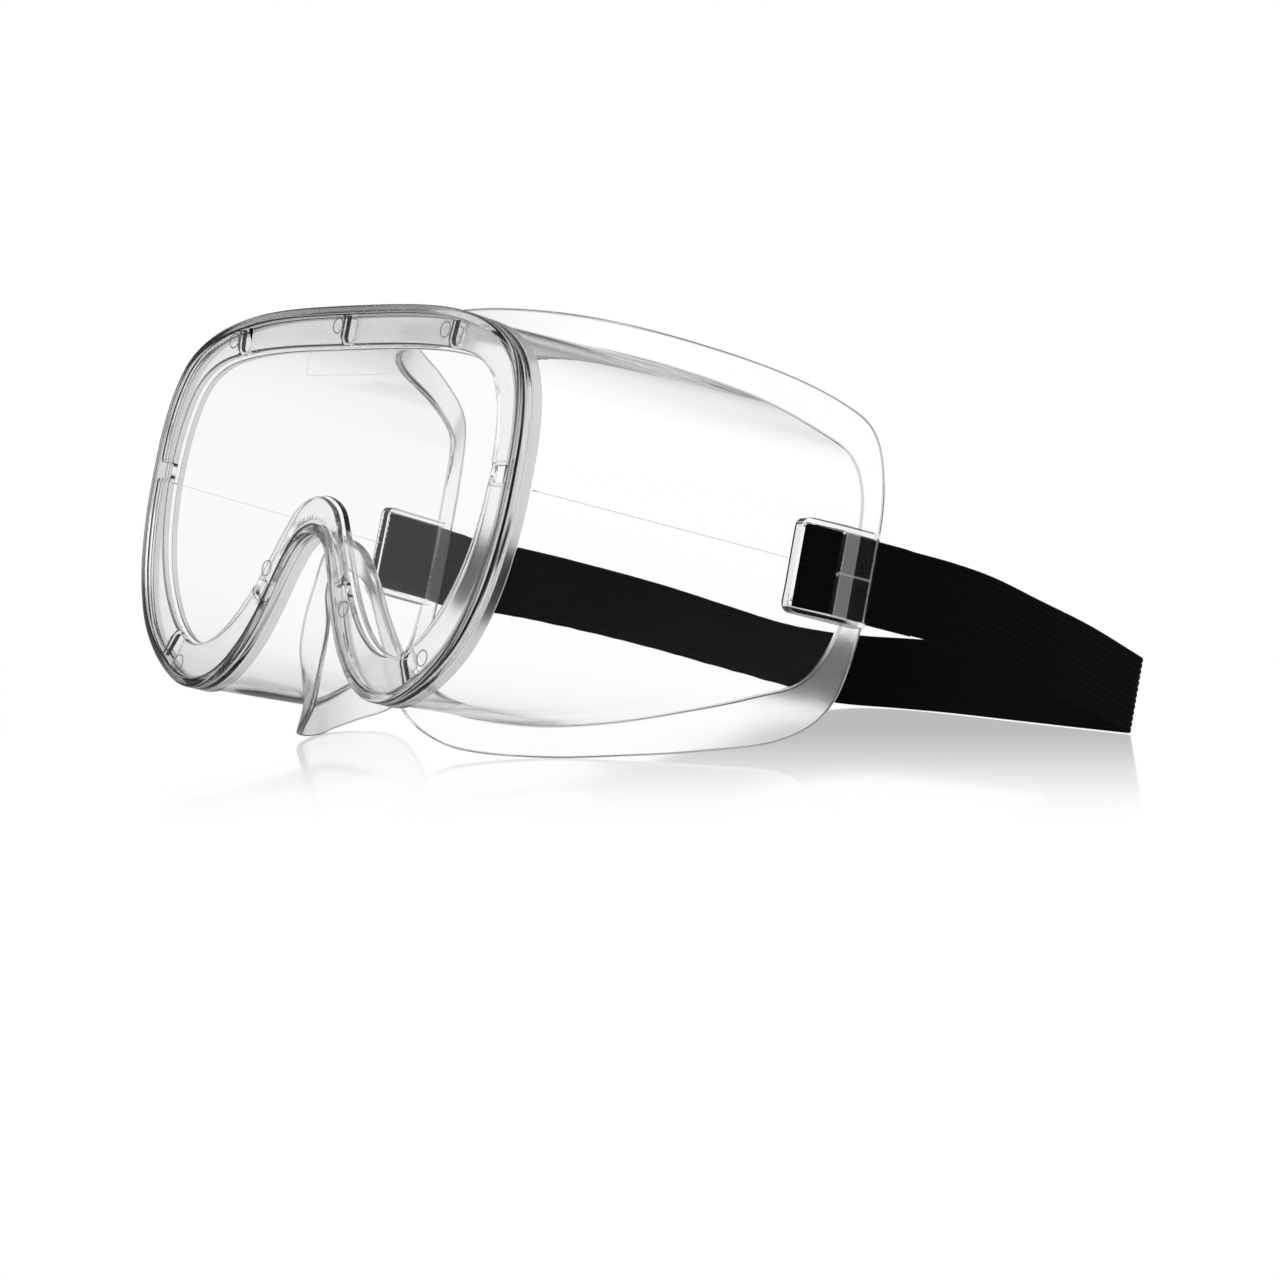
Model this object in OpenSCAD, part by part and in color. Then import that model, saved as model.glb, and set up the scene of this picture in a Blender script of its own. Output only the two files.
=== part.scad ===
// Clear panoramic safety goggles, standing on their cheek edges with the
// headband laid out behind them. Millimetres.
//
// The goggles are drawn in their own frame: origin at the middle of the rim's
// front plane on the mould parting line, x to the wearer's left, y back
// towards the face, z up. at_rest() then leans them back onto the surface.

/* [Rim and lens] */
// Depth of the rim band, front to back
rim_depth = 6.5; // [6:0.5:8]
// Thickness of the rim band
band_t = 2.2; // [1.6:0.1:2.8]
// Thickness of the front lip that holds the lens
lip_t = 1.5; // [1.2:0.1:1.7]
// Thickness of the lens
lens_t = 1.0; // [0.8:0.1:1.4]
// Width of the slots in the front lip
notch_w = 4; // [2:0.2:4]

/* [Body] */
// Thickness of the body walls
wall_t = 1.6; // [1.2:0.1:2.2]
// Step from the rim band in to the body wall
wall_step = 0.7; // [0.4:0.1:1.2]
// Thickness of the sealing flange
seal_t = 1.1; // [0.8:0.1:1.6]

/* [Strap lugs] */
// Length of a strap lug, front to back
lug_l = 20; // [19:0.5:22]
// Height of a strap lug
lug_h = 22; // [21.8:0.1:24]
// Outward tilt of a strap lug
lug_tilt = 6.5; // [5:0.5:8]
// Diameter of the bar that the strap turns round
bar_d = 1.5; // [1.2:0.1:1.8]

/* [Headband] */
// Width of the elastic
strap_w = 19; // [17:0.5:19]
// Thickness of the elastic
strap_t = 1.0; // [0.8:0.1:1.1]
// Swing of the headband that its clearances allow
swing = 45; // [20:5:50]

/* [Resting pose] */
// Lean of the goggles as they stand
lean = 13.3; // [12:0.1:15]
// Height of the goggles' origin above the surface
rest_h = 62.68; // [62:0.02:64]
// Distance from the goggles' origin back to the middle of the footprint
rest_mid = 100.3; // [90:0.1:110]

/* [Hidden] */
clear_pvc = [0.86, 0.88, 0.90, 0.55];
clear_lens = [0.93, 0.96, 0.98, 0.35];
elastic_black = [0.06, 0.06, 0.07];
sub = 4;       // samples between neighbouring stations of a curve
lip_y = 0.3;   // front of the lip behind the front of the band
seat_in = 0.6; // reach of the lens seat inside the lip's opening
gap = 0.1;     // play between the lens and its groove
eps = 0.01;

// Stations run from the middle of the forehead round the left side to the
// middle of the nose; the right side is their mirror image.
// Front outline of the rim, as x and z.
rim_pts = [[0, 41.5], [28, 41], [45, 39], [57, 35.5], [65.5, 30],
    [70, 22.5], [72.3, 13], [72.8, 2], [72.2, -10], [69.5, -23],
    [64.5, -34], [58, -41.5], [50, -47], [42, -50], [34, -49.8],
    [27, -46.5], [21, -41], [17, -35.5], [13.5, -29], [10, -21.5],
    [5.8, -15], [0, -12.5]];
// Corner where a body wall turns outward into the sealing flange.
fold_pts = [[0, 32.5, 42], [30, 36.5, 41.3], [49, 50, 39.8],
    [63, 70, 36.5], [72, 84, 31.5], [78.5, 90, 26.5], [81.8, 92.5, 17.5],
    [82.3, 93, 4], [82.2, 92.5, -12], [79, 88, -25.5], [74, 77.5, -32],
    [66.5, 65, -38], [57, 52.5, -43.5], [47, 41.5, -47], [37, 32.5, -48],
    [28.5, 26.5, -47], [23, 21, -42.5], [20, 17, -37], [16.5, 14.3, -30],
    [12.5, 12.5, -22.5], [7, 10.3, -15], [0, 9.8, -12.7]];
// Free edge of the sealing flange.
edge_pts = [[0, 36, 50], [30, 40, 49], [50, 52.5, 47], [66, 73, 43.5],
    [76, 88, 38.5], [81, 94.5, 32.5], [83.5, 97.5, 20], [84, 98, 5],
    [83.5, 97.5, -14], [82, 94, -31], [77.5, 85, -40.5], [69, 69, -46.5],
    [59, 56, -50.6], [47.5, 44, -54], [37, 32, -55.6], [28, 26, -54.5],
    [19, 22, -49.5], [13.5, 18.8, -39.5], [10, 16.3, -31],
    [8.5, 13.5, -24.5], [5, 11.5, -20.5], [0, 11, -19.5]];
// Opening of the front lip, as x and z.
open_pts = [[0, 32], [25, 31.8], [42, 30.6], [53, 28], [60, 22.5],
    [63.6, 13], [64.6, 2], [63.8, -8], [61, -18.5], [56, -28],
    [49, -35.8], [41.5, -39.6], [34.5, -38.8], [28, -35], [23, -30],
    [18.5, -24], [14.5, -17.5], [11, -11.5], [7, -6.2], [0, -3.6]];
// Slots in the lip: x and z of the round inner end, and the direction out
// across the rim, in degrees.
notch_pts = [[0, 34.5, 90], [42.9, 33, 84], [67.1, 2.1, 0],
    [47.5, -39.7, -58], [16.6, -25.6, 206]];
notch_l = 12;

// Stations where one wall or seal ends and the next begins.
forehead_end = 4;
side_end = 10;
cheek_end = 16;
seal_lug_top = 6.5;
seal_lug_low = 8.25;

// Lug frame: origin on the side wall's outer face at the lug's front.
lug_at = [80.3, 75.5, -1.2];
lug_rise = 5.2;      // outer face of the rear bar above the wall
lug_front_rise = 2.6;
lug_side = 1.3;      // thickness of a lug's top and bottom rails
lug_sink = 0.9;      // depth of the rails' feet in the wall
lug_heel = 4;        // length over which the feet taper away at the rear
lug_front = 0.9;     // thickness of the bar in front of the window
window_l = 9.6;      // length of the lug's window
rail_r = 2.5;        // radius of the lug's front corners
bar_at = [2.1, 3.1];
loop_gap = 0.1;      // play between the strap and its bar
layer = bar_at.x + bar_d / 2 + loop_gap + strap_t / 2;    // outer layer
inner_layer = bar_at.x - bar_d / 2 - loop_gap - strap_t / 2;

// The headband swings about this line, which crosses both lugs' straps.
hinge_y = 106;
hinge_z = lug_at.z;
hinge_r = strap_w / 2 / cos(swing / 2) + 0.3;
layer_end = (hinge_y - lug_at.y) / cos(lug_tilt);
tail_from = 9.5;       // ends of a strap tail along its lug
tail_to = 36;

// Headband route: x, y and the height of its lower edge off the surface.
left_run = [[87.4, 106, 27.7], [87.9, 118, 25], [87.3, 132, 21.3],
    [84.8, 150, 15.5], [80.2, 172, 8.8], [73, 197.8, 0.2]];
right_run = [[-84.6, 106, 27.7], [-83.4, 120, 25.2], [-80, 142, 20.2],
    [-75, 165, 14.2], [-69.5, 184, 8.2], [-62.5, 200, 3.2], [-50, 212, 0.7],
    [-34, 216.2, 0.2], [-10, 214, 0.2], [25, 207, 0.2], [50, 202, 0.2],
    [73, 197.8, 0.2]];
run_sub = 4;
crease_dir = [0.62, 0.785, 0];   // plan direction that halves the crease
crease_angle = 114;              // angle between the two runs there

// ---- Curves ----
function flat(p) = [-p.x, p.y, p.z];
function lift(pts) = [for (p = pts) [p.x, 0, p.y]];
function cubic(a, b, c, d, t) = (2 * b + (c - a) * t
    + (2 * a - 5 * b + 4 * c - d) * t * t
    + (3 * b - a - 3 * c + d) * t * t * t) / 2;
// Smooth half curve whose ends cross the middle plane squarely.
function half(p, n = sub) = [for (i = [0 : len(p) - 2], k = [0 : n - 1])
    cubic(i == 0 ? flat(p[1]) : p[i - 1], p[i], p[i + 1],
        i == len(p) - 2 ? flat(p[i]) : p[i + 2], k / n), p[len(p) - 1]];
// Point i of the whole ring: negative on the right side.
function ring(h, i) = let(n = len(h) - 1)
    i < -n ? ring(h, i + 2 * n) : i > n ? ring(h, i - 2 * n)
    : i < 0 ? flat(h[-i]) : h[i];
function unit(v) = v / norm(v);
// Direction into the ring, square to it in the xz plane.
function inward(h, i) = let(d = unit(ring(h, i + 1) - ring(h, i - 1)))
    [d.z, 0, -d.x];
function inset(h, i, d) = ring(h, i) + d * inward(h, i);
function outline(h, d = 0) = let(n = len(h) - 1)
    [for (i = [-n + 1 : n]) let(p = inset(h, i, d)) [p.x, p.z]];

rim = half(lift(rim_pts));
opening = half(lift(open_pts));
fold = half(fold_pts);
edge = half(edge_pts);

// ---- Sheets between curves ----
function wall_start(i, d = 0) = inset(rim, i, wall_step + d)
    + [0, rim_depth, 0];
function along(h, i) = unit(ring(h, i + 1) - ring(h, i - 1));
function wall_in(i) = unit(cross(ring(fold, i) - wall_start(i),
    along(fold, i)));
function seal_in(i) = unit(cross(ring(edge, i) - ring(fold, i),
    along(edge, i)));
// Inner corner of the fold, square to both sheets.
function fold_in(i) = let(a = wall_in(i), b = seal_in(i))
    ring(fold, i) + wall_t * (a + b) / (1 + a * b);
function wall_section(i) = [wall_start(i), ring(fold, i), fold_in(i),
    wall_start(i, wall_t)];
function seal_section(i) = [ring(fold, i), ring(edge, i),
    ring(edge, i) + seal_t * seal_in(i), fold_in(i)];

// Closed solid through a row of four-cornered sections. The last side is cut
// along its other diagonal, so that a seal meets its wall without a sliver.
module sections(s) {
    n = len(s);
    faces = concat([[0, 1, 2], [0, 2, 3]],
        [for (i = [0 : n - 2], k = [0 : 3]) let(a = 4 * i + k,
            b = 4 * i + (k + 1) % 4) each k == 3
            ? [[a, a + 4, b], [b, a + 4, b + 4]]
            : [[a, a + 4, b + 4], [a, b + 4, b]]],
        [let(e = 4 * n - 4) each [[e, e + 2, e + 1], [e, e + 3, e + 2]]]);
    polyhedron([for (q = s) each q], faces);
}
module wall(from, to) {
    sections([for (i = [from * sub : to * sub]) wall_section(i)]);
}
module seal(from, to) {
    sections([for (i = [from * sub : to * sub]) seal_section(i)]);
}

// ---- Placing ----
module at_rest() {
    translate([0, -rest_mid, rest_h]) rotate([-lean, 0, 0]) children();
}
// Flat shape in x and z, from y = front back to front + depth.
module plate(front, depth) {
    translate([0, front + depth, 0]) rotate([90, 0, 0])
        linear_extrude(height = depth) children();
}
module on_side(side) {
    mirror([side == "right" ? 1 : 0, 0, 0]) children();
}
module at_lug(side) {
    on_side(side) translate(lug_at) rotate([0, 0, -lug_tilt]) children();
}

// ---- Rim and lens ----
module rim_band() {
    color(clear_pvc) at_rest() plate(0, rim_depth) difference() {
        polygon(outline(rim));
        polygon(outline(rim, band_t));
    }
}
module notches() {
    for (side = ["left", "right"], n = notch_pts)
        mirror([side == "right" ? 1 : 0, 0]) translate([n[0], n[1]])
            rotate(n[2]) {
                circle(notch_w / 2, $fn = 48);
                translate([0, -notch_w / 2]) square([notch_l, notch_w]);
            }
}
module lens_retaining_lip() {
    color(clear_pvc) at_rest() plate(lip_y, lip_t) difference() {
        polygon(outline(rim, band_t));
        polygon(outline(opening));
        notches();
    }
}
lens_y = lip_y + lip_t + gap;
module lens() {
    color(clear_lens) at_rest() plate(lens_y, lens_t)
        polygon(outline(rim, band_t + gap));
}
module lens_seat() {
    color(clear_pvc) at_rest() plate(lens_y + lens_t + gap, lip_t)
        difference() {
            polygon(outline(rim, band_t));
            polygon(outline(opening, seat_in));
        }
}

// ---- Body walls and sealing flange ----
module forehead_wall() {
    color(clear_pvc) at_rest() wall(-forehead_end, forehead_end);
}
module side_wall_left() {
    color(clear_pvc) at_rest() wall(forehead_end, side_end);
}
module side_wall_right() {
    color(clear_pvc) at_rest() on_side("right") wall(forehead_end, side_end);
}
module cheek_wall_left() {
    color(clear_pvc) at_rest() wall(side_end, cheek_end);
}
module cheek_wall_right() {
    color(clear_pvc) at_rest() on_side("right") wall(side_end, cheek_end);
}
module nose_bridge_wall() {
    color(clear_pvc) at_rest() {
        n = len(rim_pts) - 1;
        wall(cheek_end, 2 * n - cheek_end);
    }
}
module forehead_seal() {
    color(clear_pvc) at_rest() seal(-seal_lug_top, seal_lug_top);
}
module cheek_seal_left() {
    color(clear_pvc) at_rest() seal(seal_lug_low, cheek_end);
}
module cheek_seal_right() {
    color(clear_pvc) at_rest() on_side("right")
        seal(seal_lug_low, cheek_end);
}
module nose_seal() {
    color(clear_pvc) at_rest() {
        n = len(rim_pts) - 1;
        seal(cheek_end, 2 * n - cheek_end);
    }
}

// ---- Strap lugs ----
// Side view of a lug with round front corners, extruded outward.
module lug_profile(length, height, r) {
    translate([r, -height / 2]) square([length - r, height]);
    translate([0, -height / 2 + r]) square([r + eps, height - 2 * r]);
    for (s = [-1, 1]) translate([r, s * (height / 2 - r)])
        circle(r, $fn = 48);
}
module strap_lug(side) {
    color(clear_pvc) at_rest() at_lug(side) {
        difference() {
            intersection() {
                translate([0, 0, -lug_h / 2]) linear_extrude(height = lug_h)
                    polygon([[-lug_sink, 0], [lug_front_rise, 0],
                        [lug_rise, window_l], [lug_rise, lug_l],
                        [0, lug_l], [-lug_sink, lug_l - lug_heel]]);
                translate([-lug_sink - 1, 0, 0]) rotate([90, 0, 90])
                    linear_extrude(height = lug_rise + lug_sink + 2)
                        lug_profile(lug_l, lug_h, rail_r);
            }
            pocket_h = lug_h - 2 * lug_side;
            translate([-lug_sink - 1, lug_front, -pocket_h / 2])
                cube([layer + strap_t / 2 + loop_gap + lug_sink + 1, lug_l + 1,
                    pocket_h]);
            translate([-lug_sink - 1, lug_front, -pocket_h / 2])
                cube([lug_rise + lug_sink + 2, window_l, pocket_h]);
        }
        translate([bar_at.x, bar_at.y, -lug_h / 2 + lug_side / 2])
            cylinder(d = bar_d, h = lug_h - lug_side, $fn = 32);
    }
}
module strap_lug_left() { strap_lug("left"); }
module strap_lug_right() { strap_lug("right"); }

// ---- Headband ----
module hinge_round(side, r) {
    on_side(side) translate([lug_at.x, hinge_y, hinge_z]) rotate([0, 90, 0])
        cylinder(r = r, h = 3 * lug_rise, $fn = 96);
}
// One layer of strap along a lug, at height x above the wall.
module strap_layer(x, from, to) {
    translate([x - strap_t / 2, from, -strap_w / 2])
        cube([strap_t, to - from, strap_w]);
}
// The turn of the strap round the lug's bar, and the layer that leads on to
// the headband, with a round hollow where the headband pivots.
module strap_loop(side, x) {
    color(elastic_black) at_rest() {
        difference() {
            at_lug(side) {
                translate([bar_at.x, bar_at.y, -strap_w / 2]) difference() {
                    cylinder(r = layer - bar_at.x + strap_t / 2,
                        h = strap_w, $fn = 64);
                    translate([0, 0, -1]) cylinder(r = layer - bar_at.x
                        - strap_t / 2, h = strap_w + 2, $fn = 64);
                    translate([-5, 0, -1]) cube([10, 10, strap_w + 2]);
                }
                strap_layer(x, bar_at.y, layer_end);
            }
            hinge_round(side, hinge_r);
        }
    }
}
module strap_loop_left() { strap_loop("left", layer); }
module strap_loop_right() { strap_loop("right", inner_layer); }

module strap_tail(side, x) {
    color(elastic_black) at_rest() at_lug(side)
        strap_layer(x, tail_from, tail_to);
}
module strap_tail_left() { strap_tail("left", inner_layer); }
module strap_tail_right() { strap_tail("right", layer); }

// Open curve through points, as positions with their direction in plan.
function run_curve(p, n = run_sub) = [for (i = [0 : len(p) - 2],
    k = [0 : n - 1]) cubic(i == 0 ? 2 * p[0] - p[1] : p[i - 1], p[i],
        p[i + 1], i == len(p) - 2 ? 2 * p[i + 1] - p[i] : p[i + 2], k / n),
    p[len(p) - 1]];
// Height of the surface under a point of the goggles' frame.
function ground(y) = (y * sin(lean) - rest_h) / cos(lean);
function across(c, i) = let(n = len(c) - 1,
    d = unit(c[min(n, i + 1)] - c[max(0, i - 1)]),
    s = norm([d.x, d.y])) [d.y / s, -d.x / s, 0] * strap_t / 2;
// Where the runs meet, both end on the line that halves the crease.
crease_mitre = crease_dir * strap_t / 2 / sin(crease_angle / 2);
function run_section(c, i, last) = let(p = c[i],
    low = [p.x, p.y, ground(p.y) + p.z / cos(lean)],
    w = i == len(c) - 1 ? last * crease_mitre : across(c, i),
    up = [0, 0, strap_w]) [low + w, low - w, low - w + up, low + w + up];
// Round front end of a run, in its hollow.
module run_end(side, x) {
    intersection() {
        at_lug(side) strap_layer(x, 0, layer_end + strap_t);
        hinge_round(side, strap_w / 2);
    }
}
module headband_left_run() {
    color(elastic_black) at_rest() {
        c = run_curve(left_run);
        sections([for (i = [0 : len(c) - 1]) run_section(c, i, 1)]);
        run_end("left", layer);
    }
}
module headband_right_run() {
    color(elastic_black) at_rest() {
        c = run_curve(right_run);
        sections([for (i = [0 : len(c) - 1]) run_section(c, i, -1)]);
        run_end("right", inner_layer);
    }
}

rim_band();
lens_retaining_lip();
lens();
lens_seat();
forehead_wall();
side_wall_left();
side_wall_right();
cheek_wall_left();
cheek_wall_right();
nose_bridge_wall();
forehead_seal();
cheek_seal_left();
cheek_seal_right();
nose_seal();
strap_lug_left();
strap_lug_right();
strap_loop_left();
strap_loop_right();
strap_tail_left();
strap_tail_right();
headband_left_run();
headband_right_run();
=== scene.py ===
"""Looks for the clear safety goggles: one clear moulding, a flat lens and a
ribbed elastic headband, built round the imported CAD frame. Metres."""
import math

import bmesh
import bpy
import numpy as np
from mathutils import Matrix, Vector
from mathutils.bvhtree import BVHTree


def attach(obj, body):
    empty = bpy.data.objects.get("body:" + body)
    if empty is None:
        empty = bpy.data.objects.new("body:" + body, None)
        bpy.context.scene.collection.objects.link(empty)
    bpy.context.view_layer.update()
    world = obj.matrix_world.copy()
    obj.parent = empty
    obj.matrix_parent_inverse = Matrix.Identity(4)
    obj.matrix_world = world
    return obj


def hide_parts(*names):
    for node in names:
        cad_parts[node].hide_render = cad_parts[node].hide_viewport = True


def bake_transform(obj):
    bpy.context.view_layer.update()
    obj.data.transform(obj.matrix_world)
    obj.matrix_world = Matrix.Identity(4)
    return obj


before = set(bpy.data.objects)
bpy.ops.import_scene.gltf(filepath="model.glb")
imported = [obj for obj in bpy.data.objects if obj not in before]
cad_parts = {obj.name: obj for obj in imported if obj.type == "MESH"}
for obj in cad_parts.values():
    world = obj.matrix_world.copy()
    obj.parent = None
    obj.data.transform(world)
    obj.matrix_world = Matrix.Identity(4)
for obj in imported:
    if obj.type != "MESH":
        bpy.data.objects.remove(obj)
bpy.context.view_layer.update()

MM = 0.001

# ---- The goggles' own frame, as in the CAD: x to the wearer's left, y back
# from the rim's front, z up from the parting line. ----
LEAN = math.radians(13.3)
REST_H = 62.68
REST_MID = 100.3


def rest(p):
    """Goggles' frame in millimetres to the shared frame in metres."""
    p = np.asarray(p, dtype=float)
    c, s = math.cos(LEAN), math.sin(LEAN)
    x, y, z = p[..., 0], p[..., 1], p[..., 2]
    return np.stack([x, y * c + z * s - REST_MID,
                     -y * s + z * c + REST_H], axis=-1) * MM


RIM = [(0, 41.5), (28, 41), (45, 39), (57, 35.5), (65.5, 30), (70, 22.5),
       (72.3, 13), (72.8, 2), (72.2, -10), (69.5, -23), (64.5, -34),
       (58, -41.5), (50, -47), (42, -50), (34, -49.8), (27, -46.5),
       (21, -41), (17, -35.5), (13.5, -29), (10, -21.5), (5.8, -15),
       (0, -12.5)]
FOLD = [(0, 32.5, 42), (30, 36.5, 41.3), (49, 50, 39.8), (63, 70, 36.5),
        (72, 84, 31.5), (78.5, 90, 26.5), (81.8, 92.5, 17.5), (82.3, 93, 4),
        (82.2, 92.5, -12), (79, 88, -25.5), (74, 77.5, -32), (66.5, 65, -38),
        (57, 52.5, -43.5), (47, 41.5, -47), (37, 32.5, -48), (28.5, 26.5, -47),
        (23, 21, -42.5), (20, 17, -37), (16.5, 14.3, -30),
        (12.5, 12.5, -22.5), (7, 10.3, -15), (0, 9.8, -12.7)]
EDGE = [(0, 36, 50), (30, 40, 49), (50, 52.5, 47), (66, 73, 43.5),
        (76, 88, 38.5), (81, 94.5, 32.5), (83.5, 97.5, 20), (84, 98, 5),
        (83.5, 97.5, -14), (82, 94, -31), (77.5, 85, -40.5), (69, 69, -46.5),
        (59, 56, -50.6), (47.5, 44, -54), (37, 32, -55.6), (28, 26, -54.5),
        (19, 22, -49.5), (13.5, 18.8, -39.5), (10, 16.3, -31),
        (8.5, 13.5, -24.5), (5, 11.5, -20.5), (0, 11, -19.5)]
OPENING = [(0, 32), (25, 31.8), (42, 30.6), (53, 28), (60, 22.5), (63.6, 13),
           (64.6, 2), (63.8, -8), (61, -18.5), (56, -28), (49, -35.8),
           (41.5, -39.6), (34.5, -38.8), (28, -35), (23, -30), (18.5, -24),
           (14.5, -17.5), (11, -11.5), (7, -6.2), (0, -3.6)]
# Place along OPENING that faces each point of RIM.
FACING = [0, 1, 2, 3, 3.6, 4.3, 5, 6, 7.1, 8.3, 9.2, 9.8, 10.4, 11, 12, 13,
          13.9, 14.8, 15.8, 16.9, 18, 19]
SUB = 8


def catmull(a, b, c, d, t):
    return (2 * b + (c - a) * t + (2 * a - 5 * b + 4 * c - d) * t * t
            + (3 * b - a - 3 * c + d) * t ** 3) / 2


def half_curve(pts, params):
    """A half ring through pts that crosses the middle plane squarely."""
    p = np.array([(q if len(q) == 3 else (q[0], 0, q[1])) for q in pts],
                 dtype=float)
    flat = np.array([-1, 1, 1])
    p = np.vstack([p[1] * flat, p, p[-2] * flat])
    out = []
    for u in params:
        i = min(int(u), len(pts) - 2)
        out.append(catmull(p[i], p[i + 1], p[i + 2], p[i + 3], u - i))
    return np.array(out)


def whole(half):
    """Both halves: from the middle of the nose up the right side, over the
    forehead and down the left side, ending one before the nose."""
    right = (half * [-1, 1, 1])[1:-1]
    return np.vstack([right[::-1], half])


PARAMS = np.linspace(0, len(RIM) - 1, (len(RIM) - 1) * SUB + 1)
rim = whole(half_curve(RIM, PARAMS))
fold = whole(half_curve(FOLD, PARAMS))
edge = whole(half_curve(EDGE, PARAMS))
opening = whole(half_curve(OPENING, np.interp(PARAMS, range(len(RIM)),
                                              FACING)))
N = len(rim)


def unit(v):
    return v / np.linalg.norm(v, axis=-1, keepdims=True)


def along(h):
    return unit(np.roll(h, -1, 0) - np.roll(h, 1, 0))


def inward(h):
    """Square to the ring in the xz plane, towards its middle."""
    d = along(h * [1, 0, 1])
    return np.stack([d[:, 2], 0 * d[:, 0], -d[:, 0]], axis=-1)


Y = np.array([0.0, 1.0, 0.0])


def new_object(name, verts, faces, smooth=True):
    mesh = bpy.data.meshes.new(name)
    mesh.from_pydata([tuple(v) for v in verts], [], faces)
    mesh.validate()
    ob = bpy.data.objects.new(name, mesh)
    bpy.context.collection.objects.link(ob)
    if smooth:
        mesh.shade_smooth()
    return ob


def loft(name, rings, closed_path=True, close_section=True):
    """Quads through rings, an array of sections by points by xyz."""
    n, m = len(rings), len(rings[0])
    faces = []
    for i in range(n if closed_path else n - 1):
        for j in range(m if close_section else m - 1):
            a, b = i * m + j, i * m + (j + 1) % m
            c, d = ((i + 1) % n) * m + (j + 1) % m, ((i + 1) % n) * m + j
            faces.append((a, b, c, d))
    if not closed_path:
        faces += [tuple(range(m))[::-1],
                  tuple((n - 1) * m + j for j in range(m))]
    return new_object(name, np.asarray(rings).reshape(-1, 3), faces)


# ---- The moulding's section, swept round the face ----
RIM_DEPTH, BAND_T, LIP_Y, LIP_T, LENS_T, GAP = 6.5, 2.2, 0.3, 1.5, 1.0, 0.1
WALL_T, WALL_STEP, SEAL_T, SEAT_IN = 1.6, 0.7, 1.5, 0.6
LENS_Y = LIP_Y + LIP_T + GAP
SEAT_Y = LENS_Y + LENS_T + GAP
SLOPE_OUT, SLOPE_IN = 0.1, 0.2     # the band's inner side slopes to the lip
SHEET_CUT = 9      # longest stretch of a sheet between two stations
WALL, BAND, LIP, FLANGE, LUG = range(5)     # looks, in the order of slots


def round_corner(prev, at, nxt, r, steps=3):
    """Points of a rounded corner, as arrays over all stations."""
    a = at + unit(prev - at) * r
    b = at + unit(nxt - at) * r
    return [a * (1 - t) ** 2 + at * 2 * t * (1 - t) + b * t * t
            for t in np.linspace(0, 1, steps + 1)]


def zone(corner, rounding=True):
    """Look of a corner of the section, or of the span after it."""
    # The roundings at the flange's edge and fold take the band's grey: painted
    # shade that draws their shaded lines.
    if corner in (0, 1, 15) or (rounding and corner in (11, 12, 13)):
        return BAND
    if corner < 5:
        return LIP
    return FLANGE if corner in (10, 11, 12) else WALL


def body_rings():
    to_lens = opening - rim
    width = np.linalg.norm(to_lens * [1, 0, 1], axis=1, keepdims=True)
    u = unit(to_lens * [1, 0, 1])

    def front(s, y):
        return rim * [1, 0, 1] + u * s + Y * y

    n_in = inward(rim)
    start = rim * [1, 0, 1] + n_in * WALL_STEP + Y * RIM_DEPTH
    wall_in = unit(np.cross(fold - start, along(fold)))
    seal_in = unit(np.cross(edge - fold, along(edge)))
    dot = np.sum(wall_in * seal_in, axis=1, keepdims=True)
    fold_in = fold + WALL_T * (wall_in + seal_in) / (1 + dot)
    edge_in = edge + SEAL_T * seal_in
    start_in = start + n_in * WALL_T
    corners = [
        # point, radius of its rounding
        (front(0, 0), 0.8),
        (front(BAND_T - SLOPE_OUT, 0), 0.25),
        (front(BAND_T + SLOPE_IN, LIP_Y), 0.2),
        (front(width, LIP_Y), 0.7),
        (front(width, LIP_Y + LIP_T), 0.25),
        (front(BAND_T, LIP_Y + LIP_T), 0.1),
        (front(BAND_T, SEAT_Y), 0.1),
        (front(width + SEAT_IN, SEAT_Y), 0.4),
        (front(width + SEAT_IN, SEAT_Y + LIP_T), 0.4),
        (start_in * [1, 0, 1] + Y * (SEAT_Y + LIP_T), 0.5),
        (fold_in, 0.5),
        (edge_in, 0.45),
        (edge, 0.45),
        (fold, 0.45),
        (start, 0.4),
        (front(0, RIM_DEPTH), 0.45),
    ]
    rings, zones = [], []
    n = len(corners)
    for k, (at, r) in enumerate(corners):
        prev, nxt = corners[k - 1][0], corners[(k + 1) % n][0]
        rings += round_corner(prev, at, nxt, r)
        zones += [zone(k)] * (len(rings) - len(zones))
        zones[-1] = zone(k, False)
        # long sheets get stations of their own
        span = np.linalg.norm(nxt - at, axis=1).max()
        cuts = int(span // SHEET_CUT)
        for c in range(1, cuts + 1):
            t = c / (cuts + 1)
            rings.append(at * (1 - t) + nxt * t)
            zones.append(zone(k, False))
    return np.stack(rings, axis=1), zones


rings, zones = body_rings()
body = loft("body_moulding", rest(rings))
for i, face in enumerate(body.data.polygons):
    face.material_index = zones[i % len(zones)]

# ---- Slots through the front lip ----
# x and z of the round inner end, and the direction out across the rim.
NOTCHES = [(0, 34.5, 90), (42.9, 33, 84), (67.1, 2.1, 0), (47.5, -39.7, -58),
           (16.6, -25.6, 206)]
NOTCH_W = 4.0
SHOULDER_W, SHOULDER_D = 0.7, 0.35     # step round each slot's mouth
SHORT_OF_BAND = 0.15      # the slot stops here, inside the band
CUT_FROM, CUT_TO = -1.0, LENS_Y - 0.02


def prism(name, outline, y0, y1):
    """A closed prism of an x, z outline between two depths."""
    n = len(outline)
    a = np.array([(x, y0, z) for x, z in outline])
    b = np.array([(x, y1, z) for x, z in outline])
    faces = [(i, (i + 1) % n, n + (i + 1) % n, n + i) for i in range(n)]
    faces += [tuple(range(n))[::-1], tuple(range(n, 2 * n))]
    ob = new_object(name, rest(np.vstack([a, b])), faces, smooth=False)
    outward(ob)
    return ob


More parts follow.
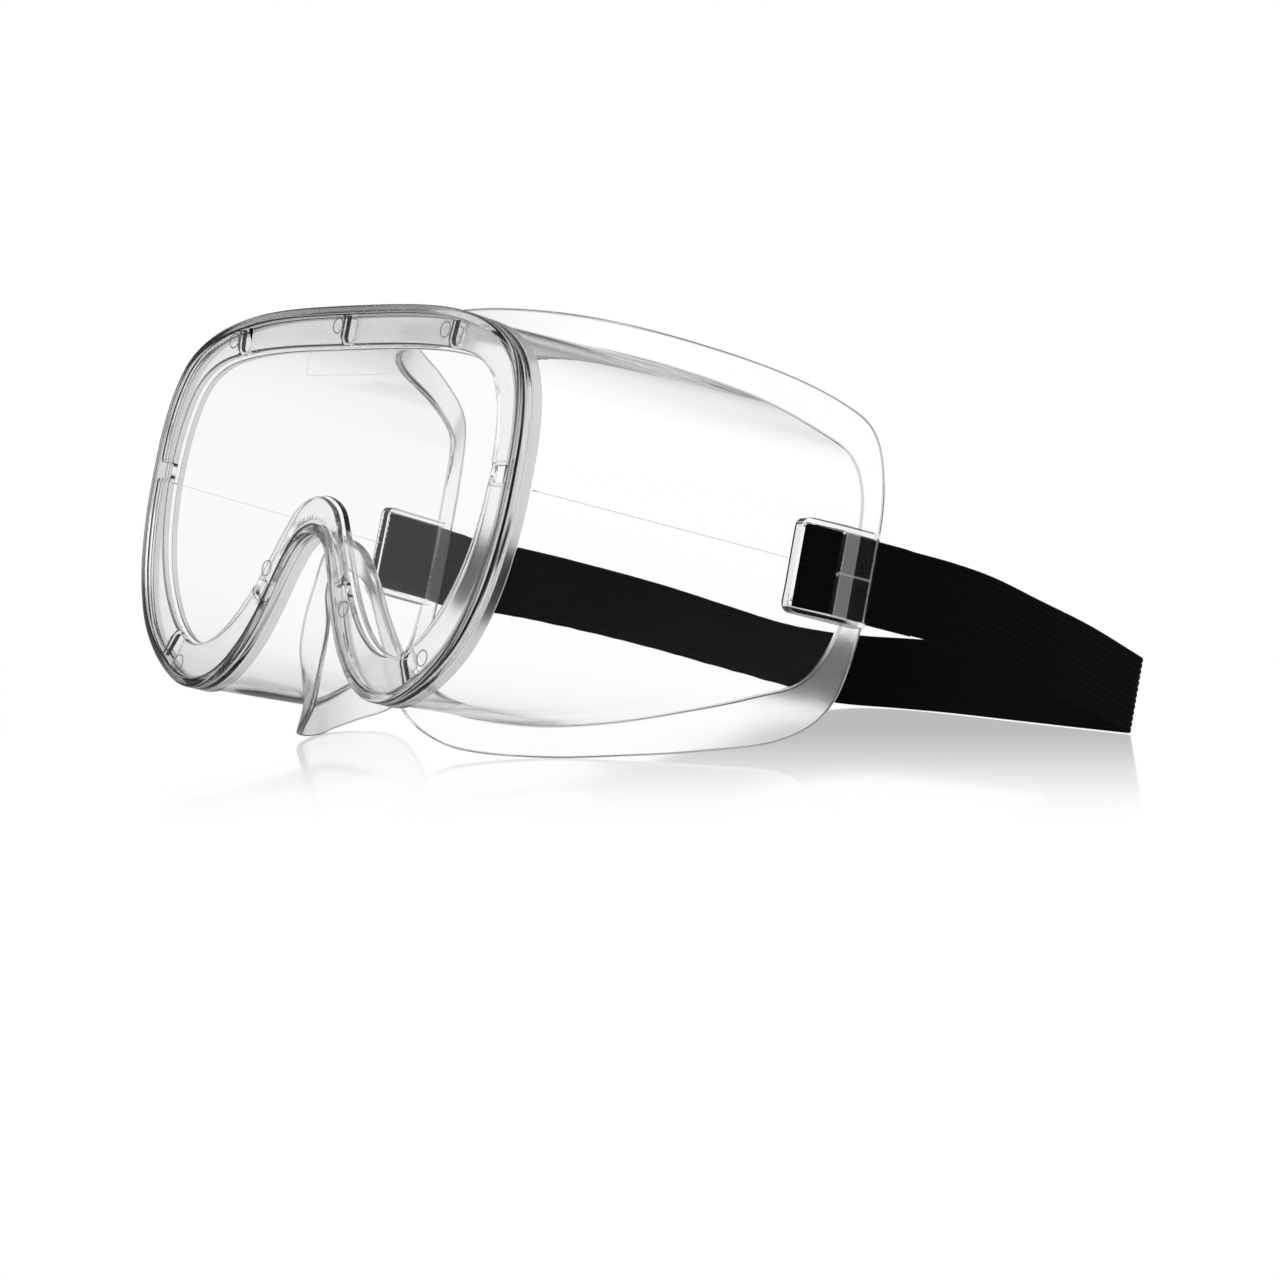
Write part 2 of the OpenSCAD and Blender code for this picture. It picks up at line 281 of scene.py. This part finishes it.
def outward(ob):
    bm = bmesh.new()
    bm.from_mesh(ob.data)
    bmesh.ops.recalc_face_normals(bm, faces=bm.faces)
    bm.to_mesh(ob.data)
    bm.free()


def notch_outline(x, z, angle, mirrored, length, wider=0):
    a = math.radians(angle)
    r = NOTCH_W / 2 + wider
    pts = [(r * math.cos(t), r * math.sin(t))
           for t in np.linspace(math.pi / 2, 3 * math.pi / 2, 17)]
    pts += [(length, -r), (length, r)]
    out = [(x + p * math.cos(a) - q * math.sin(a),
            z + p * math.sin(a) + q * math.cos(a)) for p, q in pts]
    return [(-p, q) for p, q in out] if mirrored else out


def combine(ob, other, operation):
    """Boolean of two closed meshes, applied."""
    mod = ob.modifiers.new("cut", "BOOLEAN")
    mod.operation, mod.object, mod.solver = operation, other, "EXACT"
    dg = bpy.context.evaluated_depsgraph_get()
    mesh = bpy.data.meshes.new_from_object(ob.evaluated_get(dg))
    ob.modifiers.clear()
    ob.data = mesh
    bpy.data.objects.remove(other)


def apply_modifiers(ob):
    dg = bpy.context.evaluated_depsgraph_get()
    mesh = bpy.data.meshes.new_from_object(ob.evaluated_get(dg))
    ob.modifiers.clear()
    ob.data = mesh


def weight_normals(ob):
    """Flat sheets stay optically flat; the roundings take the bend."""
    mod = ob.modifiers.new("normals", "WEIGHTED_NORMAL")
    mod.weight, mod.keep_sharp = 100, True
    apply_modifiers(ob)


def to_rim(x, z, angle):
    """Distance from a slot's inner end, along it, to the rim's outside."""
    a = math.radians(angle)
    rel = rim[:, [0, 2]] - np.array([x, z])
    ahead = rel @ np.array([math.cos(a), math.sin(a)])
    aside = np.abs(rel[:, 0] * math.sin(a) - rel[:, 1] * math.cos(a))
    return ahead[(ahead > 0) & (ahead < 16) & (aside < 2.5)].min()


for x, z, angle in NOTCHES:
    reach = to_rim(x, z, angle) - BAND_T - SHORT_OF_BAND
    for mirrored in ((False,) if x == 0 else (False, True)):
        for wider, depth in ((0, CUT_TO), (SHOULDER_W, LIP_Y + SHOULDER_D)):
            combine(body, prism("cutter", notch_outline(
                x, z, angle, mirrored, reach, wider), CUT_FROM, depth),
                "DIFFERENCE")

# ---- Curved groove in the lip over the nose ----
GROOVE_HALF, GROOVE_FROM, GROOVE_TO, GROOVE_D = 8.5, 2.5, 3.5, 0.9
arch = np.where((np.abs(rim[:, 0]) < GROOVE_HALF) & (rim[:, 2] < 0))[0]
arch = arch[np.argsort(rim[arch, 0])]
near_edge = (rim + inward(rim) * GROOVE_FROM)[arch][:, [0, 2]]
far_edge = (rim + inward(rim) * GROOVE_TO)[arch][:, [0, 2]]
combine(body, prism("cutter", [tuple(q) for q in near_edge]
                    + [tuple(q) for q in far_edge[::-1]],
                    CUT_FROM, LIP_Y + GROOVE_D), "DIFFERENCE")

# ---- Strap lugs, joined into the moulding ----
LUG_AT, LUG_TILT = np.array([80.3, 75.5, -1.2]), math.radians(6.5)
LUG_TOP, LUG_L, LUG_H, BRIDGE_FROM, STEP_L = 5.2, 20.0, 22.0, 10.5, 4.0
LUG_BEVEL = 0.3
OFF_SKIN = 0.15      # a face further than this from the wall is the lug's
skin = BVHTree.FromPolygons([v.co.copy() for v in body.data.vertices],
                            [tuple(f.vertices) for f in body.data.polygons])
for side in ("left", "right"):
    lug = bpy.data.objects.new("lug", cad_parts[
        "strap_lug_" + side].data.copy())
    bpy.context.collection.objects.link(lug)
    bm = bmesh.new()
    bm.from_mesh(lug.data)
    bmesh.ops.remove_doubles(bm, verts=bm.verts, dist=1e-6)
    bmesh.ops.dissolve_limit(bm, angle_limit=math.radians(1),
                             verts=bm.verts, edges=bm.edges)
    bm.to_mesh(lug.data)
    bm.free()
    bevel = lug.modifiers.new("bevel", "BEVEL")
    bevel.width, bevel.segments = LUG_BEVEL * MM, 2
    bevel.limit_method = "ANGLE"
    bevel.angle_limit = math.radians(40)
    apply_modifiers(lug)
    combine(body, lug, "UNION")

# Faces of the lugs take the lug look, with its painted grey shade.
for face in body.data.polygons:
    if skin.find_nearest(face.center)[3] > OFF_SKIN * MM:
        face.material_index = LUG

body.data.shade_smooth()
body.data.set_sharp_from_angle(angle=math.radians(38))
# a lug meets the wall in a sharp corner all round
bm = bmesh.new()
bm.from_mesh(body.data)
for line in bm.edges:
    if len({f.material_index == LUG for f in line.link_faces}) == 2:
        line.smooth = False
bm.to_mesh(body.data)
bm.free()
weight_normals(body)
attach(body, "goggles")
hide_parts("rim_band", "lens_retaining_lip", "lens_seat",
            "forehead_wall", "side_wall_left", "side_wall_right",
            "cheek_wall_left", "cheek_wall_right", "nose_bridge_wall",
            "forehead_seal", "cheek_seal_left", "cheek_seal_right",
            "nose_seal", "strap_lug_left", "strap_lug_right")

# ---- Lens ----
lens_edge = (rim + inward(rim) * (BAND_T + GAP)) * [1, 0, 1]
ROUND = 0.25
lens_rings = []
for inset, y in ((ROUND, 0), (0, ROUND), (0, LENS_T - ROUND),
                 (ROUND, LENS_T)):
    lens_rings.append(lens_edge + inward(rim) * inset + Y * (LENS_Y + y))
lens_verts = rest(np.vstack(lens_rings))
lens_faces = [(k * N + i, (k + 1) * N + i, (k + 1) * N + (i + 1) % N,
               k * N + (i + 1) % N) for k in range(3) for i in range(N)]
lens_faces += [tuple(range(N)), tuple(range(3 * N, 4 * N))[::-1]]
lens = new_object("lens_sheet", lens_verts, lens_faces)
outward(lens)
lens.data.set_sharp_from_angle(angle=math.radians(30))
weight_normals(lens)
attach(lens, "goggles")
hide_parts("lens")

# ---- Fine mould marks ----
SEAM_R, LUG_SEAM_R, HEEL_R, PAD_LINE_R = 0.1, 0.24, 0.2, 0.1
MARK_R, MARK_LINE_R = 1.8, 0.16
MARK_ASIDE, MARK_INSIDE = 4.8, 2.6     # from its slot, and from the band
MARK_CLEAR = 2.0       # least room between a mark's middle and the band


def in_lug(p, side):
    """Lug's own frame to the goggles' frame."""
    x, y, z = p
    c, s = math.cos(LUG_TILT), math.sin(LUG_TILT)
    q = LUG_AT + np.array([x * c + y * s, -x * s + y * c, z])
    return q * [-1, 1, 1] if side == "right" else q


def bead(name, path, radius, closed=False, sides=8):
    """A thin bead along a path in the goggles' frame."""
    p = np.asarray(path, dtype=float)
    if closed:
        d = np.roll(p, -1, 0) - np.roll(p, 1, 0)
    else:
        d = np.gradient(p, axis=0)
    d = unit(d)
    a = unit(np.cross(d, Y + np.array([0.013, 0, 0.017])))
    b = np.cross(d, a)
    t = np.linspace(0, 2 * math.pi, sides, endpoint=False)
    rings = [q + radius * (np.cos(t)[:, None] * u + np.sin(t)[:, None] * v)
             for q, u, v in zip(p, a, b)]
    ob = loft(name, rest(np.array(rings)), closed_path=closed)
    outward(ob)
    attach(ob, "goggles")
    return ob


def seam_path(sx, t0, t1, n=40):
    """Where the parting plane cuts a side wall's outer face."""
    start = rim * [1, 0, 1] + inward(rim) * WALL_STEP + Y * RIM_DEPTH
    pick = np.where((rim[:, 0] * sx > 60) & (np.abs(rim[:, 2]) < 25))[0]
    out = []
    for t in np.linspace(t0, t1, n):
        p = start[pick] * (1 - t) + fold[pick] * t
        k = np.argsort(np.abs(p[:, 2]))[:2]
        a, b = p[k[0]], p[k[1]]
        w = a[2] / (a[2] - b[2])
        out.append(a + (b - a) * w)
    return np.array(out)


seams, marks, steps = [], [], []
for side, sx in (("left", 1), ("right", -1)):
    seam = bead("mould_seam_" + side, seam_path(sx, 0.01, 0.79), SEAM_R)
    seams.append(seam)

for side in ("left", "right"):
    top, first, last = LUG_TOP, BRIDGE_FROM, LUG_L - 0.6
    half = LUG_H / 2
    path = [in_lug((top, y, 0), side) for y in np.linspace(first, last, 12)]
    # The rear bead is a drawn line of painted shade along the lug's rear edge,
    # standing for the shading that edge shows.
    rear = [in_lug((top, LUG_L - 0.7, z), side)
            for z in np.linspace(-half + 1.2, half - 1.2, 12)]
    for name, p, r in (("lug_seam_", path, LUG_SEAM_R),
                       ("lug_heel_shade_line_", rear, HEEL_R)):
        line = bead(name + side, p, r)
        steps.append(line)
    corners = [in_lug((x, y, z), side) for x in (top + 0.02, top + 0.17)
               for y, z in ((first + 0.3, -half + 0.9),
                            (first + STEP_L, -half + 0.9),
                            (first + STEP_L, half - 0.9),
                            (first + 0.3, half - 0.9))]
    step = new_object("lug_step_" + side, rest(np.array(corners)),
                      [(0, 1, 2, 3), (4, 5, 6, 7), (0, 1, 5, 4),
                       (1, 2, 6, 5), (2, 3, 7, 6), (3, 0, 4, 7)],
                      smooth=False)
    outward(step)
    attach(step, "goggles")
    steps.append(step)

circle = np.linspace(0, 2 * math.pi, 28, endpoint=False)
for x, z, angle in NOTCHES:
    if angle == 0:
        continue       # the slots at the sides have no mark
    a = math.radians(angle)
    out = to_rim(x, z, angle) - BAND_T - MARK_INSIDE
    for sx in ((1,) if x == 0 else (1, -1)):
        d = np.array([math.cos(a) * sx, math.sin(a)])
        c = (np.array([x * sx, z]) + d * out
             + np.array([-d[1], d[0]]) * MARK_ASIDE)
        near = np.linalg.norm(rim[:, [0, 2]] - c, axis=1).min()
        if near < BAND_T + MARK_CLEAR:
            c -= d * (BAND_T + MARK_CLEAR + 0.3 - near)
        ring = [(c[0] + MARK_R * math.cos(t), LIP_Y,
                 c[1] + MARK_R * math.sin(t)) for t in circle]
        mark = bead("mould_mark_%02d" % (len(marks) + 1), ring, MARK_LINE_R,
                    closed=True, sides=6)
        marks.append(mark)

PAD = (35.0, 6.0, 28.5, 1.3)       # width, height, middle z, corner radius


def pad_outline(w, h, zc, r, n=6):
    pts = []
    for cx, cz, start in ((w / 2 - r, h / 2 - r, 0),
                          (-w / 2 + r, h / 2 - r, 90),
                          (-w / 2 + r, -h / 2 + r, 180),
                          (w / 2 - r, -h / 2 + r, 270)):
        pts += [(cx + r * math.cos(t), zc + cz + r * math.sin(t))
                for t in np.radians(np.linspace(start, start + 90, n))]
    return pts


pad = bead("lens_pad", [(x, LENS_Y + LENS_T + 0.12, z)
                        for x, z in pad_outline(*PAD)], PAD_LINE_R,
           closed=True, sides=6)

# ---- Elastic headband ----
STRAP_W, STRAP_T = 19.0, 1.0
RIBS = 13
RIB_H = 0.2
SKEW = 0.035       # lean of the strap's turn in its lug; its edges move by
#                    more than the play round the bar, so they cut into it
LAYER_END, TAIL_END = 28.5, 36
BAR = (2.1, 3.1)
LAYER, INNER_LAYER = 3.45, 0.75
TURN_R = LAYER - BAR[0]
LEFT_RUN = [(87.4, 106, 27.7), (87.9, 118, 25), (87.3, 132, 21.3),
            (84.8, 150, 15.5), (80.2, 172, 8.8), (73, 197.8, 0.2)]
RIGHT_RUN = [(-84.6, 106, 27.7), (-83.4, 120, 25.2), (-80, 142, 20.2),
             (-75, 165, 14.2), (-69.5, 184, 8.2), (-62.5, 200, 3.2),
             (-50, 212, 0.7), (-34, 216.2, 0.2), (-10, 214, 0.2),
             (25, 207, 0.2), (50, 202, 0.2), (73, 197.8, 0.2)]
CREASE = np.array([0.62, 0.785, 0]) / math.sin(math.radians(57))


def ground(y):
    return (y * math.sin(LEAN) - REST_H) / math.cos(LEAN)


def spline(pts, step):
    p = np.array(pts, dtype=float)
    p = np.vstack([2 * p[0] - p[1], p, 2 * p[-1] - p[-2]])
    out = []
    for i in range(1, len(p) - 2):
        n = max(2, int(np.linalg.norm(p[i + 1] - p[i]) / step))
        out += [catmull(p[i - 1], p[i], p[i + 1], p[i + 2], k / n)
                for k in range(n)]
    out.append(p[-2])
    return np.array(out)


def rib_profile():
    """Closed section of the elastic: (across, out) with ribs on both faces."""
    per = 6
    n = RIBS * per
    u = np.linspace(-0.5, 0.5, n + 1)
    rib = np.abs(np.sin(np.pi * RIBS * (u + 0.5))) ** 0.5
    edge_round = np.clip((0.5 - np.abs(u)) * STRAP_W / 0.5, 0, 1) ** 0.5
    h = (STRAP_T / 2 - RIB_H + RIB_H * rib) * (0.35 + 0.65 * edge_round)
    front = [(a * STRAP_W, b) for a, b in zip(u, h)]
    back = [(a * STRAP_W, -b) for a, b in zip(u[::-1], h[::-1])]
    return np.array(front + back)


PROFILE = rib_profile()


def strap(name, centre, normal, width_dir):
    """A strap along stations, given its middle, its face's normal and the
    direction across it, in the goggles' frame."""
    rings = []
    for c, n, w in zip(centre, normal, width_dir):
        rings.append(c + PROFILE[:, :1] * w + PROFILE[:, 1:] * n)
    ob = loft(name, rest(np.array(rings)), closed_path=False)
    outward(ob)
    return ob


UP = np.array([0.0, 0.0, 1.0])


def run_stations(pts, last, step=1.6):
    c = spline(pts, step)
    low = np.stack([c[:, 0], c[:, 1], [ground(y) + z / math.cos(LEAN)
                                       for _, y, z in c]], axis=1)
    d = np.gradient(c[:, :2], axis=0)
    d = unit(d)
    n = np.stack([d[:, 1], -d[:, 0], 0 * d[:, 0]], axis=1)
    n[-1] = last * CREASE
    mid = low + UP * STRAP_W / 2
    return mid, n, np.tile(UP, (len(c), 1))


def lug_stations(side, x, y0, y1, step=1.6):
    """A straight layer along a lug at height x above the wall."""
    n = max(2, int((y1 - y0) / step))
    ys = np.linspace(y0, y1, n)
    mid = np.array([in_lug((x, y, 0), side) for y in ys])
    out = in_lug((1, 0, 0), side) - in_lug((0, 0, 0), side)
    return mid, np.tile(out, (n, 1)), np.tile(UP, (n, 1))


def turn_stations(side, first, n=22):
    """The turn round the bar, from the layer at height first to the other."""
    sgn = 1 if first < BAR[0] else -1
    mids, outs = [], []
    for t in np.linspace(0, math.pi, n):
        o = np.array([-sgn * math.cos(t), -math.sin(t), 0])
        p = np.array([BAR[0], BAR[1], 0]) + o * TURN_R
        mids.append(in_lug(p, side))
        outs.append(in_lug(o, side) - in_lug((0, 0, 0), side))
    return np.array(mids), np.array(outs), np.tile(UP + SKEW * Y, (n, 1))


def headband(side, run, last, run_layer, tail_layer):
    """The turn, the layer under the lug's bridge and the run, in one."""
    t_mid, t_out, t_up = turn_stations(side, tail_layer)
    l_mid, l_out, l_up = lug_stations(side, run_layer, BAR[1] + 1.2,
                                       LAYER_END)
    r_mid, r_out, r_up = run_stations(run, last)
    lean = np.linspace(SKEW, 0, len(l_up))[:, None]
    l_up = l_up + lean * Y
    outs = np.vstack([t_out, l_out, r_out])
    for i in range(1, len(outs)):
        if outs[i] @ outs[i - 1] < 0:
            outs[i] = -outs[i]
    return strap("headband_" + side, np.vstack([t_mid, l_mid, r_mid]), outs,
                 np.vstack([t_up, l_up, r_up]))


def strap_end(side, x):
    mid, out, up = lug_stations(side, x, BAR[1] + 0.05, TAIL_END)
    up = up + np.linspace(SKEW, 0, len(up))[:, None] * Y
    return strap("strap_end_" + side, mid, out, up)


band_left = headband("left", LEFT_RUN, 1, LAYER, INNER_LAYER)
band_right = headband("right", RIGHT_RUN, -1, INNER_LAYER, LAYER)
end_left = strap_end("left", INNER_LAYER)
end_right = strap_end("right", LAYER)


for side, ob, nodes in (
        ("left", band_left, ("strap_loop_left", "headband_left_run")),
        ("right", band_right, ("strap_loop_right", "headband_right_run"))):
    sx = 1 if side == "left" else -1
    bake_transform(ob)
    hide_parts(*nodes)
for side, ob in (("left", end_left), ("right", end_right)):
    a = in_lug((2, 6, 0), side)
    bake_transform(ob)
    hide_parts("strap_tail_" + side)

# ---- Materials ----


def reflected(nodes, links):
    """1 for a ray that was last reflected, not refracted."""
    path = nodes.new("ShaderNodeLightPath")
    less = nodes.new("ShaderNodeMath")
    less.operation, less.use_clamp = "SUBTRACT", True
    links.new(path.outputs["Is Glossy Ray"], less.inputs[0])
    links.new(path.outputs["Is Transmission Ray"], less.inputs[1])
    return less.outputs[0]


def material(name):
    mat = bpy.data.materials.new(name)
    mat.use_nodes = True
    return mat, mat.node_tree.nodes, mat.node_tree.links


def clear_plastic(name, tint, grazing_shade, roughness, ior, haze_scale, haze,
                  clear=1.0, waves=0.02):
    mat, nodes, links = material(name)
    bsdf = nodes["Principled BSDF"]
    bsdf.inputs["Transmission Weight"].default_value = clear
    bsdf.inputs["IOR"].default_value = ior
    bsdf.inputs["Specular Tint"].default_value = (0.05, 0.05, 0.05, 1)
    out = nodes["Material Output"]
    coord = nodes.new("ShaderNodeTexCoord")
    noise = nodes.new("ShaderNodeTexNoise")
    noise.inputs["Scale"].default_value = haze_scale
    noise.inputs["Detail"].default_value = 3
    links.new(coord.outputs["Object"], noise.inputs["Vector"])
    ramp = nodes.new("ShaderNodeMapRange")
    ramp.inputs["To Min"].default_value = roughness
    ramp.inputs["To Max"].default_value = roughness + haze
    links.new(noise.outputs["Fac"], ramp.inputs["Value"])
    links.new(ramp.outputs["Result"], bsdf.inputs["Roughness"])
    bump = nodes.new("ShaderNodeBump")
    bump.inputs["Strength"].default_value = waves
    bump.inputs["Distance"].default_value = 0.0004
    links.new(noise.outputs["Fac"], bump.inputs["Height"])
    links.new(bump.outputs["Normal"], bsdf.inputs["Normal"])
    # Base colour darkens to the second colour as the surface turns edge-on:
    # painted shade standing for the dark lines along a clear part's edges.
    weight = nodes.new("ShaderNodeLayerWeight")
    weight.inputs["Blend"].default_value = 0.5
    steep = nodes.new("ShaderNodeMath")
    steep.operation = "POWER"
    steep.inputs[1].default_value = 3
    links.new(weight.outputs["Facing"], steep.inputs[0])
    mix = nodes.new("ShaderNodeMix")
    mix.data_type = "RGBA"
    mix.inputs["A"].default_value = (*tint, 1)
    mix.inputs["B"].default_value = (*grazing_shade, 1)
    links.new(steep.outputs["Value"], mix.inputs["Factor"])
    links.new(mix.outputs["Result"], bsdf.inputs["Base Color"])
    shade = nodes.new("ShaderNodeBsdfTransparent")      # for shadow rays
    shade.inputs["Color"].default_value = (0.93, 0.94, 0.95, 1)
    path = nodes.new("ShaderNodeLightPath")
    both = nodes.new("ShaderNodeMixShader")
    links.new(path.outputs["Is Shadow Ray"], both.inputs["Fac"])
    links.new(bsdf.outputs["BSDF"], both.inputs[1])
    links.new(shade.outputs["BSDF"], both.inputs[2])
    links.new(both.outputs["Shader"], out.inputs["Surface"])
    return mat


def grey(v):
    return (v, v, v)


# The second colour given to each clear material is its painted grazing shade.
pvc = clear_plastic("clear_pvc", grey(1), grey(0.3), roughness=0.0,
                    ior=1.5, haze_scale=60, haze=0.004)
# The band's grey tint is painted shade, standing for the grey the clear rim
# shows.
band_pvc = clear_plastic("clear_pvc_band", grey(0.45), grey(0.2),
                         roughness=0.1, ior=1.5, haze_scale=90, haze=0.1)
lip_pvc = clear_plastic("clear_pvc_lip", (0.97, 0.97, 0.965), grey(0.45),
                        roughness=0.06, ior=1.5, haze_scale=90, haze=0.1)
flange_pvc = clear_plastic("clear_pvc_flange", grey(0.97), grey(0.4),
                           roughness=0.08, ior=1.5, haze_scale=90,
                           haze=0.08, clear=0.93)
# The lugs' grey tint is painted shade, for the greyish look of the clear lugs.
lug_pvc = clear_plastic("clear_pvc_lug", grey(0.86), grey(0.35),
                        roughness=0.03, ior=1.5, haze_scale=90, haze=0.06)
frosted_pvc = clear_plastic("clear_pvc_frosted", grey(0.95), grey(0.6),
                            roughness=0.25, ior=1.5, haze_scale=90,
                            haze=0.1, clear=0.955)
pane = clear_plastic("clear_lens", grey(1), grey(0.7), roughness=0.0,
                     ior=1.45, haze_scale=20, haze=0.001, waves=0.008)
pad_film = clear_plastic("lens_pad_film", grey(0.965), grey(0.8),
                         roughness=0.0, ior=1.45, haze_scale=200, haze=0.02)


def knit(name):
    mat, nodes, links = material(name)
    bsdf = nodes["Principled BSDF"]
    coord = nodes.new("ShaderNodeTexCoord")
    noise = nodes.new("ShaderNodeTexNoise")
    noise.inputs["Scale"].default_value = 900
    noise.inputs["Detail"].default_value = 4
    links.new(coord.outputs["Object"], noise.inputs["Vector"])
    ramp = nodes.new("ShaderNodeMix")
    ramp.data_type = "RGBA"
    ramp.inputs["A"].default_value = (0.0003, 0.0003, 0.0003, 1)
    ramp.inputs["B"].default_value = (0.002, 0.002, 0.0022, 1)
    links.new(noise.outputs["Fac"], ramp.inputs["Factor"])
    links.new(ramp.outputs["Result"], bsdf.inputs["Base Color"])
    bsdf.inputs["Roughness"].default_value = 0.85
    bsdf.inputs["Sheen Weight"].default_value = 0.01
    bsdf.inputs["Sheen Roughness"].default_value = 0.5
    bsdf.inputs["Specular IOR Level"].default_value = 0.05
    bump = nodes.new("ShaderNodeBump")
    bump.inputs["Strength"].default_value = 0.5
    bump.inputs["Distance"].default_value = 0.0002
    links.new(noise.outputs["Fac"], bump.inputs["Height"])
    links.new(bump.outputs["Normal"], bsdf.inputs["Normal"])
    return mat


elastic = knit("black_elastic")


def dress(ob, mat):
    ob.data.materials.clear()
    ob.data.materials.append(mat)


for mat in (pvc, band_pvc, lip_pvc, flange_pvc, lug_pvc):
    body.data.materials.append(mat)
dress(lens, pane)
dress(pad, pad_film)
for ob in seams:
    dress(ob, pvc)
# The mould marks take the band's painted grey shade.
for ob in marks:
    dress(ob, band_pvc)
for ob in steps:
    dress(ob, frosted_pvc)
for ob in (band_left, band_right, end_left, end_right):
    dress(ob, elastic)

# ---- Floor, world and lights ----
FADE_FROM, FADE_TO, FLOOR_GLOSS = -0.25, 0.03, 0.5
BEHIND_FROM, BEHIND_TO = 0.14, 0.4
floor = new_object("floor", [(-6, -6, 0), (6, -6, 0), (6, 6, 0), (-6, 6, 0)],
                   [(0, 1, 2, 3)], smooth=False)
mat, nodes, links = material("floor_white")
gloss = nodes.new("ShaderNodeBsdfGlossy")
gloss.inputs["Roughness"].default_value = 0.06
gloss.inputs["Color"].default_value = (1, 1, 1, 1)
glow = nodes.new("ShaderNodeEmission")
glow.inputs["Strength"].default_value = 1.0
# the reflection fades over the floor in front of the goggles
coord = nodes.new("ShaderNodeTexCoord")
ahead = nodes.new("ShaderNodeVectorMath")
ahead.operation = "DOT_PRODUCT"
ahead.inputs[1].default_value = (-0.784, 0.620, 0)
links.new(coord.outputs["Object"], ahead.inputs[0])
fade = nodes.new("ShaderNodeMapRange")
fade.interpolation_type = "SMOOTHSTEP"
fade.inputs["From Min"].default_value = FADE_FROM
fade.inputs["From Max"].default_value = FADE_TO
fade.inputs["To Max"].default_value = FLOOR_GLOSS
links.new(ahead.outputs["Value"], fade.inputs["Value"])
behind = nodes.new("ShaderNodeMapRange")
behind.inputs["From Min"].default_value = BEHIND_TO
behind.inputs["From Max"].default_value = BEHIND_FROM
links.new(ahead.outputs["Value"], behind.inputs["Value"])
mirror = nodes.new("ShaderNodeMath")
mirror.operation = "MULTIPLY"
links.new(fade.outputs["Result"], mirror.inputs[0])
links.new(behind.outputs["Result"], mirror.inputs[1])
both = nodes.new("ShaderNodeMixShader")
links.new(mirror.outputs["Value"], both.inputs["Fac"])
links.new(glow.outputs["Emission"], both.inputs[1])
links.new(gloss.outputs["BSDF"], both.inputs[2])
dim = nodes.new("ShaderNodeEmission")
dim.inputs["Strength"].default_value = 0.35
seen = nodes.new("ShaderNodeMixShader")
links.new(reflected(nodes, links), seen.inputs["Fac"])
links.new(both.outputs["Shader"], seen.inputs[1])
links.new(dim.outputs["Emission"], seen.inputs[2])
links.new(seen.outputs["Shader"], nodes["Material Output"].inputs["Surface"])
dress(floor, mat)

world_data = bpy.data.worlds.new("studio")
bpy.context.scene.world = world_data
world_data.use_nodes = True
wn, wl = world_data.node_tree.nodes, world_data.node_tree.links
back = wn["Background"]
back.inputs["Strength"].default_value = 1.0
coord = wn.new("ShaderNodeTexCoord")
sep = wn.new("ShaderNodeSeparateXYZ")
wl.new(coord.outputs["Generated"], sep.inputs["Vector"])


def sky(stops):
    """Brightness of the studio by height, as (height, brightness) stops."""
    ramp = wn.new("ShaderNodeValToRGB")
    wl.new(sep.outputs["Z"], ramp.inputs["Fac"])
    els = ramp.color_ramp.elements
    els[0].position, els[1].position = stops[0][0], stops[-1][0]
    for pos, v in stops[1:-1]:
        els.new(pos)
    for e, (pos, v) in zip(sorted(els, key=lambda e: e.position), stops):
        e.color = (v, v, v, 1)
    return ramp.outputs["Color"]


def choose(fac, a, b):
    node = wn.new("ShaderNodeMix")
    node.data_type = "RGBA"
    wl.new(fac, node.inputs["Factor"])
    wl.new(a, node.inputs["A"])
    wl.new(b, node.inputs["B"])
    return node.outputs["Result"]


path = wn.new("ShaderNodeLightPath")
through = sky([(0, 1), (0.35, 1), (0.5, 0.3), (0.8, 0.25), (1, 1)])
mirrored_sky = sky([(0, 1), (0.14, 1), (0.2, 0.3), (0.5, 0.3), (0.7, 0.7),
                    (1, 0.8)])
white = sky([(0, 1), (1, 1)])
lit = choose(reflected(wn, wl), through, mirrored_sky)
wl.new(choose(path.outputs["Is Camera Ray"], lit, white), back.inputs["Color"])


def area(name, place, size, power):
    data = bpy.data.lights.new(name, "AREA")
    data.shape, data.size, data.energy = "SQUARE", size, power
    ob = bpy.data.objects.new(name, data)
    ob.location = place
    ob.rotation_mode = "QUATERNION"
    ob.rotation_quaternion = (Vector((0, 0, 0.05)) - Vector(place)
                              ).to_track_quat("-Z", "Y")
    bpy.context.collection.objects.link(ob)


area("key_softbox", (0.6, -0.6, 1.6), 1.4, 14)
area("fill_softbox", (1.3, 0.9, 0.8), 1.0, 5)

bpy.context.scene.view_settings.view_transform = "Standard"

# ---- Camera ----
CAM_AT = (802.6, -641.2, 72.56)
CAM_FORWARD = (-0.7834, 0.6197, -0.0483)
CAM_LENS = 118.1
cam_data = bpy.data.cameras.new("camera")
cam = bpy.data.objects.new("camera", cam_data)
bpy.context.collection.objects.link(cam)
cam_data.sensor_width = 36
cam_data.lens = CAM_LENS
cam.location = Vector(CAM_AT) * MM
cam.rotation_mode = "QUATERNION"
cam.rotation_quaternion = Vector(CAM_FORWARD).to_track_quat("-Z", "Y")
bpy.context.scene.camera = cam
